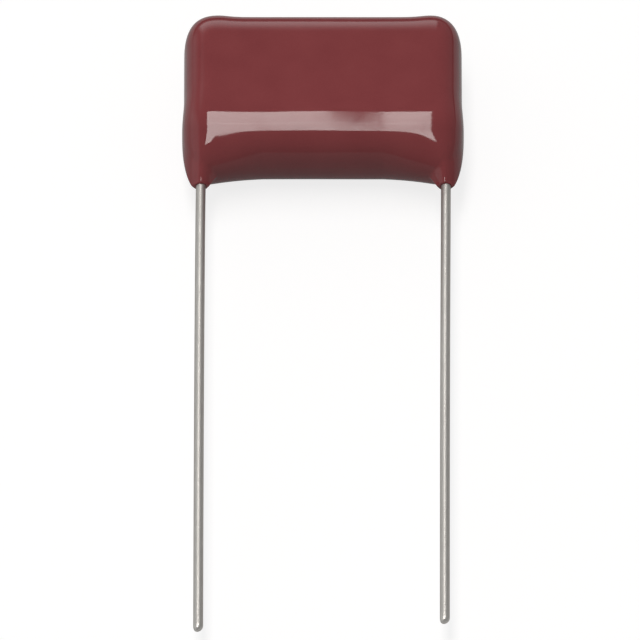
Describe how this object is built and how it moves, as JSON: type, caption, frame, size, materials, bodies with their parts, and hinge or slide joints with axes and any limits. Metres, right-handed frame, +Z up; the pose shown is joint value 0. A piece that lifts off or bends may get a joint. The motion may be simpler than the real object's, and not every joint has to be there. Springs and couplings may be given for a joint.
{
  "type": "dipped film capacitor",
  "caption": "Flat dipped film capacitor: a glossy red-brown epoxy body with rounded edges and long straight radial wire leads from one long edge.",
  "frame": {"origin": "centre of the body's flat underside, which the part rests on", "axes": "+X along the body from the left wire to the right wire, +Y away from the free wires, +Z up through the body's thickness"},
  "size_m": [0.0172, 0.0473, 0.0053],
  "materials": {
    "epoxy": "gloss",
    "metallised_film": "satin",
    "sprayed_zinc": "matte",
    "tinned_wire": "satin"
  },
  "bodies": {
    "root": {"epoxy_coating": "epoxy", "film_winding": "metallised_film", "end_spray_left": "sprayed_zinc", "end_spray_right": "sprayed_zinc", "lead_left": "tinned_wire", "lead_right": "tinned_wire"}
  },
  "joints": []
}
